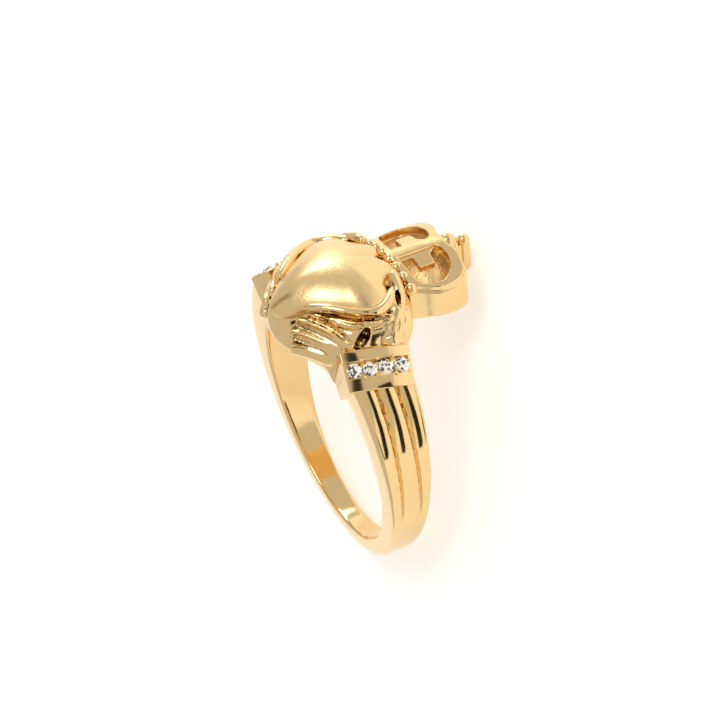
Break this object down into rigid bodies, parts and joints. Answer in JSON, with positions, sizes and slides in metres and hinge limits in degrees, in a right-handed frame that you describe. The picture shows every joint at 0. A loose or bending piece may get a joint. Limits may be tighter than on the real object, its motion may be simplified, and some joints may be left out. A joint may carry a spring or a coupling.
{
  "type": "claddagh ring",
  "caption": "Claddagh ring in yellow gold: cuffed hands hold a satin heart beside a pierced-look crown, with small diamonds across each cuff; it lies on its crown side.",
  "frame": {"origin": "centre of the finger hole", "axes": "X across the head, from one cuff to the other. Y and Z are level and up for the ring as it lies: the finger's axis is tilted from Z about X, the crown side down, and the heart lies towards +Y"},
  "size_m": [0.0214, 0.0241, 0.0144],
  "materials": {
    "gold": "polished yellow gold, with a satin heart and a sandy crown floor",
    "diamond": "cut and polished, colourless"
  },
  "bodies": {
    "root": {"gold_ring": "gold", "diamond_right_1": "diamond", "diamond_right_2": "diamond", "diamond_right_3": "diamond", "diamond_right_4": "diamond", "diamond_left_1": "diamond", "diamond_left_2": "diamond", "diamond_left_3": "diamond", "diamond_left_4": "diamond"}
  },
  "joints": []
}
